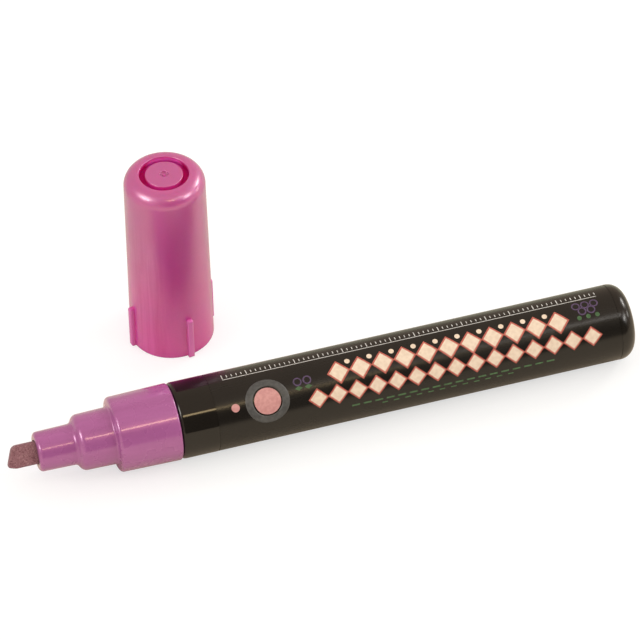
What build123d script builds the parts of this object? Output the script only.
from build123d import *
import math
import os

# Valve-action chalk marker with its cap taken off and stood on its mouth beside the nib.
# Millimetres. X runs along the marker from the nib to the rear and Z is up. The origin is on the
# barrel's axis, halfway along the barrel. A station is a distance behind the barrel's front edge,
# so everything on the nib side of that edge has a negative one.

# Barrel
barrel_diameter = 15.5
barrel_length = 95.23
barrel_wall = 0.95
barrel_rear_wall = 1.4
barrel_rear_round = 3.0
barrel_front_round = 0.85
barrel_front_land = 0.05

# Printed film, wrapped in a shallow recess with a butt seam underneath
label_start = 7.43
label_rear_land = 0.4
label_recess = 0.10
label_thickness = 0.08
label_glue = 0.01
label_edge_gap = 0.12
label_seam_angle = 3.0
label_seam_turn = 300.0

# Front collar: tip, middle and base steps in front of the barrel, and a spigot inside it
tip_step_length = 7.7
middle_step_length = 7.8
base_step_length = 12.77
middle_step_diameter = 11.3
collar_draft = 1.0
collar_proud = 0.07
neck_lean = 0.9
neck_hollow = 1.0
neck_round = 1.5
shoulder_lean = 0.35
shoulder_hollow = 0.5
shoulder_round = 0.8
tip_round = 0.85
tip_land = 0.23
mouth_round = 0.2
collar_rear_round = 0.4
collar_wall = 1.3
spigot_length = 8.0
spigot_fit = 0.015
spigot_wall = 1.0
spigot_bead_station = 4.5
spigot_bead_height = 0.2
spigot_bead_width = 1.2
spigot_lead = 0.4

# Chisel nib of bonded fibre, turned about the axis so that its broad side faces up and forward
nib_width = 4.6
nib_thickness = 3.6
nib_corner = 0.8
nib_reach = 6.2
nib_slant = 23.0
nib_top_round = 1.4
nib_tip_round = 0.75
nib_heel_length = 1.75
nib_heel_height = 0.47
nib_edge_thickness = 1.8
nib_bevel_length = 2.6
nib_turn = -43.0
nib_play = 0.12

# Valve inside the collar
valve_travel = 2.5
valve_fit = 0.05
valve_front_gap = 0.3
valve_wall = 0.9
valve_plate = 1.2
valve_plate_station = -6.2
valve_flange = 0.8
valve_flange_height = 0.7
valve_tail = 4.7
gasket_rim = 0.5
gasket_width = 1.6
gasket_thickness = 1.0
gasket_pocket = 0.6
gasket_play = 0.05
stem_rod_radius = 1.15
stem_head_margin = 0.7
stem_head_length = 1.4
stem_pilot_radius = 1.3
stem_pilot_length = 2.0
stem_guide_radius = 0.95
stem_guide_play = 0.05
stem_guide_grip = 0.9
slot_count = 4
slot_width = 2.6
spring_wire = 0.5
spring_play = 0.2
spring_turns = 7
retainer_plug = 1.2
retainer_flange = 0.8
retainer_boss_radius = 2.2

# Mixing ball, lying in the reservoir
ball_diameter = 6.0
ball_play = 0.05
ball_offset = 4.0

# Cap: a tapered shell with grip ribs, and an inner cup that closes on the collar's tip step
cap_fit = 0.06
cap_wall = 0.67
cap_draft = 0.5
cap_standoff = 0.3
cap_headroom = 8.73
cap_upper_wall = 0.95
cap_ledge = 0.45
cap_top_wall = 1.3
cap_top_land = 0.3
cap_mouth_lead = 0.3
cap_rim_round = 0.15
cap_groove = 1.17
cap_hole_round = 0.2
rib_count = 4
rib_turn = 10.7
rib_width = 1.25
rib_length = 10.0
rib_height = 0.88
rib_end_round = 0.4
rib_round = 0.4
cup_fit = 0.05
cup_wall = 0.92
cup_seal_length = 6.4
cup_lead = 0.4
cup_nose_gap = 0.5
cup_flange = 1.2
nib_well_play = 0.61
cup_disc_drop = 0.2
cup_disc_wall = 1.1
cup_disc_round = 0.25
cup_flange_fit = 0.03
cup_seat = 0.8
cup_seat_reach = 0.6
cup_seat_fit = 0.05
snap_height = 0.2
snap_length = 0.8
snap_gap = 0.05
gate_radius = 0.92
gate_depth = 0.35
gate_round = 0.08
gate_nub_radius = 0.38
gate_nub_height = 0.3
gate_nub_tip = 0.228

# Where the cap stands, from the barrel's front edge and from the marker's axis
cap_station = 8.83
cap_aside = 33.4

barrel_radius = barrel_diameter / 2
barrel_bore = barrel_radius - barrel_wall
label_rear_margin = barrel_rear_round + label_rear_land
floor = -barrel_radius

collar_length = tip_step_length + middle_step_length + base_step_length
draft = math.tan(math.radians(collar_draft))
nib_diagonal = math.hypot(nib_width / 2 - nib_corner, nib_thickness / 2 - nib_corner) + nib_corner
tip_front = nib_diagonal + nib_play + mouth_round + tip_land + tip_round
tip_rear = tip_front + tip_step_length * draft
middle_front = middle_step_diameter / 2
middle_rear = middle_front + middle_step_length * draft
base_rear = barrel_radius + collar_proud
base_front = base_rear - base_step_length * draft
spigot_radius = barrel_bore - spigot_fit
bead_half = spigot_bead_width / 2
bead_flat = bead_half - spigot_bead_height

valve_bore = spigot_radius - spigot_wall
valve_radius = valve_bore - valve_fit
valve_inside = valve_radius - valve_wall
gasket_radius = valve_inside - gasket_rim - gasket_play
valve_port_radius = gasket_radius - gasket_width
stem_head_radius = gasket_radius - stem_head_margin
valve_rear = spigot_length + valve_flange + valve_tail
nib_chamber = middle_front - collar_wall
nib_chamber_front = -(middle_step_length + base_step_length - collar_wall)
valve_bore_front = -(base_step_length - collar_wall)
gasket_front = valve_plate_station + valve_plate
head_front = gasket_front + gasket_thickness
head_rear = head_front + stem_head_length
nib_rear = valve_plate_station - valve_travel - valve_front_gap
nib_tip = -collar_length - nib_reach
spring_radius = stem_pilot_radius + spring_play + spring_wire / 2
spring_rear = valve_rear - retainer_plug
boss_rear = valve_rear + stem_guide_grip + valve_travel

mouth_bore = base_rear + cap_fit
cap_mouth_radius = mouth_bore + cap_wall
cap_height = collar_length + nib_reach - cap_standoff + cap_headroom
cap_top_radius = cap_mouth_radius - cap_height * math.tan(math.radians(cap_draft))
cup_bore = tip_rear + cup_fit
cup_nose = collar_length - cap_standoff + cup_nose_gap
cup_top = cap_height - cup_disc_drop
nib_well = nib_width / 2 + nib_well_play
cup_disc_radius = nib_well + cup_wall
cap_hole_radius = cup_disc_radius + cap_groove
cap_shoulder_round = cap_top_radius - cap_hole_radius - cap_top_land
mouth_depth = base_step_length - cap_standoff + cup_nose_gap


def cap_radius(height):
    return cap_mouth_radius - height * math.tan(math.radians(cap_draft))


def barrel_x(station):
    return station - barrel_length / 2


def outline(corners):
    points = [(across, along) for across, along, _ in corners]
    return make_face(FilletPolyline(*points, radius=[rounding for *_, rounding in corners], close=True))


def turned(corners, arc=360):
    """Revolves (station, radius, corner rounding) round the marker's axis."""
    placed = [(barrel_x(station), radius, rounding) for station, radius, rounding in corners]
    return revolve(outline(placed), Axis.X, revolution_arc=arc)


def stood(corners):
    """Revolves (radius, height, corner rounding) round the cap's axis."""
    solid = revolve(Plane.XZ * outline(corners), Axis.Z)
    return Pos(barrel_x(cap_station), cap_aside, floor) * solid


def make_barrel():
    label_end = barrel_length - label_rear_margin
    inner_rear = barrel_length - barrel_rear_wall
    groove = spigot_bead_height + spigot_fit
    front_round = min(barrel_front_round, barrel_wall - barrel_front_land)
    return turned([
        (0, barrel_bore, 0),
        (0, barrel_radius, front_round),
        (label_start, barrel_radius, 0),
        (label_start, barrel_radius - label_recess, 0),
        (label_end, barrel_radius - label_recess, 0),
        (label_end, barrel_radius, 0),
        (barrel_length, barrel_radius, barrel_rear_round),
        (barrel_length, 0, 0),
        (inner_rear, 0, 0),
        (inner_rear, barrel_bore, barrel_rear_round - barrel_wall),
        (spigot_bead_station + bead_half + spigot_fit, barrel_bore, 0),
        (spigot_bead_station + bead_flat + spigot_fit, barrel_bore + groove, 0),
        (spigot_bead_station - bead_flat - spigot_fit, barrel_bore + groove, 0),
        (spigot_bead_station - bead_half - spigot_fit, barrel_bore, 0),
    ])


def make_label():
    inner = barrel_radius - label_recess + label_glue
    front = label_start + label_edge_gap
    rear = barrel_length - label_rear_margin - label_edge_gap
    film = turned(
        [
            (front, inner, 0),
            (front, inner + label_thickness, 0),
            (rear, inner + label_thickness, 0),
            (rear, inner, 0),
        ],
        360 - label_seam_angle,
    )
    return Rot(X=label_seam_turn) * film


def nib_prism(width, thickness, corner, front, rear):
    """Bar of the nib's section, its width along Z before the nib's turn about the axis."""
    section = Plane.YZ * RectangleRounded(thickness, width, corner)
    return Pos(X=barrel_x(front)) * extrude(section, rear - front)


def make_collar():
    tip_end = -(middle_step_length + base_step_length)
    body = turned([
        (-collar_length, 0, 0),
        (-collar_length, tip_front, tip_round),
        (tip_end, tip_rear, neck_hollow),
        (tip_end + neck_lean, middle_front, neck_round),
        (-base_step_length, middle_rear, shoulder_hollow),
        (-base_step_length + shoulder_lean, base_front, shoulder_round),
        (0, base_rear, collar_rear_round),
        (0, spigot_radius, 0),
        (spigot_bead_station - bead_half, spigot_radius, 0),
        (spigot_bead_station - bead_flat, spigot_radius + spigot_bead_height, 0),
        (spigot_bead_station + bead_flat, spigot_radius + spigot_bead_height, 0),
        (spigot_bead_station + bead_half, spigot_radius, 0),
        (spigot_length - spigot_lead, spigot_radius, 0),
        (spigot_length, spigot_radius - spigot_lead, 0),
        (spigot_length, valve_bore, 0),
        (valve_bore_front, valve_bore, 0),
        (valve_bore_front, nib_chamber, 0),
        (nib_chamber_front, nib_chamber, 0),
        (nib_chamber_front, 0, 0),
    ])
    guide = nib_prism(
        nib_width + 2 * nib_play,
        nib_thickness + 2 * nib_play,
        nib_corner + nib_play,
        -collar_length - tip_round,
        nib_chamber_front + tip_round,
    )
    body -= Rot(X=nib_turn) * guide
    front_face = body.faces().sort_by(Axis.X)[0]
    return fillet(front_face.inner_wires().edges(), mouth_round)


def make_nib():
    length = nib_rear - nib_tip
    half = nib_width / 2
    toe = nib_heel_height - half
    drop = (half - toe) * math.tan(math.radians(nib_slant))
    bar = nib_prism(nib_width, nib_thickness, nib_corner, nib_tip, nib_rear)
    # The slanted writing edge and its eased heel, seen on the broad side
    broad = Plane.XZ * outline([
        (0, toe, nib_tip_round),
        (drop, half, nib_top_round),
        (length, half, 0),
        (length, -half, 0),
        (nib_heel_length, -half, 0),
    ])
    # The two bevels that thin the nib towards that edge
    bevel = nib_bevel_length + drop
    narrow = outline([
        (0, -nib_edge_thickness / 2, nib_edge_thickness / 3),
        (0, nib_edge_thickness / 2, nib_edge_thickness / 3),
        (bevel, nib_thickness / 2, 0),
        (length, nib_thickness / 2, 0),
        (length, -nib_thickness / 2, 0),
        (bevel, -nib_thickness / 2, 0),
    ])
    start = Pos(X=barrel_x(nib_tip))
    bar &= start * extrude(broad, nib_thickness, both=True)
    bar &= start * extrude(narrow, nib_width, both=True)
    return Rot(X=nib_turn) * bar


def make_valve_body():
    front = valve_bore_front + valve_front_gap
    flange_rear = spigot_length + valve_flange
    pocket = gasket_radius + gasket_play
    body = turned([
        (front, valve_inside, 0),
        (front, valve_radius, 0),
        (spigot_length, valve_radius, 0),
        (spigot_length, valve_radius + valve_flange_height, 0),
        (flange_rear, valve_radius + valve_flange_height, 0),
        (flange_rear, valve_radius, 0),
        (valve_rear, valve_radius, 0),
        (valve_rear, valve_inside, 0),
        (gasket_front + gasket_pocket, valve_inside, 0),
        (gasket_front + gasket_pocket, pocket, 0),
        (gasket_front, pocket, 0),
        (gasket_front, valve_port_radius, 0),
        (valve_plate_station, valve_port_radius, 0),
        (valve_plate_station, valve_inside, 0),
    ])
    # Ink slots between the spigot and the retainer
    slot_length = spring_rear - flange_rear
    slot = Box(slot_length, slot_width, valve_radius, align=(Align.MIN, Align.CENTER, Align.MIN))
    for turn in range(slot_count):
        body -= Rot(X=turn * 360 / slot_count) * Pos(X=barrel_x(flange_rear), Z=valve_inside / 2) * slot
    return body


def make_gasket():
    return turned([
        (gasket_front, valve_port_radius, 0),
        (gasket_front, gasket_radius, 0),
        (head_front, gasket_radius, 0),
        (head_front, valve_port_radius, 0),
    ])


def make_stem():
    guide_rear = valve_rear + stem_guide_grip
    return turned([
        (nib_rear, 0, 0),
        (nib_rear, stem_rod_radius, 0),
        (head_front, stem_rod_radius, 0),
        (head_front, stem_head_radius, 0),
        (head_rear, stem_head_radius, 0),
        (head_rear, stem_pilot_radius, 0),
        (head_rear + stem_pilot_length, stem_pilot_radius, 0),
        (head_rear + stem_pilot_length, stem_guide_radius, 0),
        (guide_rear, stem_guide_radius, 0),
        (guide_rear, 0, 0),
    ])


def helix_point(turn, start, rise):
    angle = 2 * math.pi * turn
    across = (spring_radius * math.cos(angle), spring_radius * math.sin(angle))
    return Vector(start + rise * turn, *across)


def helix_tangent(turn, rise):
    angle = 2 * math.pi * turn
    along = 2 * math.pi * spring_radius
    return Vector(rise, -along * math.sin(angle), along * math.cos(angle)).normalized()


def make_spring():
    # Each half turn of the helix is two arcs that meet with a common tangent
    start = barrel_x(head_rear) + spring_wire / 2
    rise = (spring_rear - head_rear - spring_wire) / spring_turns
    arcs = []
    for half in range(2 * spring_turns):
        first, last = half / 2, (half + 1) / 2
        a, b = helix_point(first, start, rise), helix_point(last, start, rise)
        ta, tb = helix_tangent(first, rise), helix_tangent(last, rise)
        chord, lean = b - a, ta + tb
        spread = 2 * (1 - ta.dot(tb))
        slope = chord.dot(lean)
        reach = (math.sqrt(slope * slope + spread * chord.dot(chord)) - slope) / spread
        middle = (a + b + (ta - tb) * reach) * 0.5
        arcs.append(Edge.make_tangent_arc(a, ta, middle))
        arcs.append(Edge.make_tangent_arc(middle, chord - lean * reach, b))
    path = Wire(arcs)
    section = Plane(path @ 0, z_dir=path % 0) * Circle(spring_wire / 2)
    print("spring gap between turns", round(rise - spring_wire, 2))
    return sweep(section, path=path)


def make_retainer():
    hole = stem_guide_radius + stem_guide_play
    return turned([
        (spring_rear, hole, 0),
        (spring_rear, valve_inside - valve_fit, 0),
        (valve_rear, valve_inside - valve_fit, 0),
        (valve_rear, valve_radius, 0),
        (valve_rear + retainer_flange, valve_radius, 0),
        (valve_rear + retainer_flange, retainer_boss_radius, 0),
        (boss_rear, retainer_boss_radius, 0),
        (boss_rear, hole, 0),
    ])


def make_ball():
    radius = ball_diameter / 2
    return Pos(ball_offset, 0, -(barrel_bore - radius - ball_play)) * Sphere(radius)


def make_cap_shell():
    ledge = cup_nose + cup_flange
    bore_top = cap_radius(ledge) - cap_upper_wall
    above = bore_top - cap_ledge
    under_top = cap_height - cap_top_wall
    snap_top = cup_nose - snap_gap
    shell = stood([
        (mouth_bore + cap_mouth_lead, 0, 0),
        (cap_mouth_radius, 0, cap_rim_round),
        (cap_top_radius, cap_height, cap_shoulder_round),
        (cap_hole_radius, cap_height, cap_hole_round),
        (cap_hole_radius, under_top, 0),
        (above, under_top, 0),
        (above, ledge, 0),
        (bore_top, ledge, 0),
        (bore_top, snap_top, 0),
        (bore_top - snap_height, snap_top - snap_length / 3, 0),
        (bore_top, snap_top - snap_length, 0),
        (bore_top, mouth_depth + (mouth_bore - bore_top), 0),
        (mouth_bore, mouth_depth, 0),
        (mouth_bore, cap_mouth_lead, 0),
    ])
    # Grip ribs: bars with eased edges, rising from the rim
    inside = (mouth_bore + cap_mouth_radius) / 2
    face = Pos(0, rib_length / 2) * Rectangle(rib_width, rib_length)
    face = fillet(face.vertices().group_by(Axis.Y)[-1], rib_end_round)
    rib = extrude(Plane.YZ * face, cap_mouth_radius + rib_height - inside)
    rib = fillet(rib.faces().sort_by(Axis.X)[-1].edges(), rib_round)
    for place in range(rib_count):
        turn = Rot(Z=rib_turn + place * 360 / rib_count)
        shell += Pos(barrel_x(cap_station), cap_aside, floor) * turn * Pos(X=inside) * rib
    return shell


def make_inner_cap():
    flange_radius = cap_radius(cup_nose + cup_flange) - cap_upper_wall - cup_flange_fit
    chamber_top = cup_top - cup_disc_wall
    seal_start = cup_nose - cup_seal_length
    gate_floor = cup_top - gate_depth
    seat_top = cap_height - cap_top_wall - cup_seat_fit
    seat_radius = cap_hole_radius + cup_seat_reach
    return stood([
        (0, chamber_top, 0),
        (nib_well, chamber_top, 0),
        (nib_well, cup_nose, 0),
        (cup_bore, cup_nose, 0),
        (cup_bore, seal_start + cup_lead, 0),
        (cup_bore + cup_lead, seal_start, 0),
        (cup_bore + cup_wall, seal_start, 0),
        (cup_bore + cup_wall, cup_nose, 0),
        (flange_radius, cup_nose, 0),
        (flange_radius, cup_nose + cup_flange, 0),
        (cup_disc_radius, cup_nose + cup_flange, 0),
        (cup_disc_radius, seat_top - cup_seat, 0),
        (seat_radius, seat_top - cup_seat, 0),
        (seat_radius, seat_top, 0),
        (cup_disc_radius, seat_top, 0),
        (cup_disc_radius, cup_top, cup_disc_round),
        (gate_radius, cup_top, gate_round),
        (gate_radius, gate_floor, gate_round),
        (gate_nub_radius, gate_floor, 0),
        (gate_nub_tip, gate_floor + gate_nub_height, 0),
        (0, gate_floor + gate_nub_height, 0),
    ])


pieces = {
    "barrel": make_barrel(),
    "label_sleeve": make_label(),
    "front_collar": make_collar(),
    "nib": make_nib(),
    "valve_body": make_valve_body(),
    "valve_gasket": make_gasket(),
    "valve_stem": make_stem(),
    "valve_spring": make_spring(),
    "valve_retainer": make_retainer(),
    "mixing_ball": make_ball(),
    "cap_shell": make_cap_shell(),
    "inner_cap": make_inner_cap(),
}

os.makedirs("parts", exist_ok=True)
for name, solid in pieces.items():
    export_step(solid, f"parts/{name}.step")
    print(name, round(solid.volume, 2))
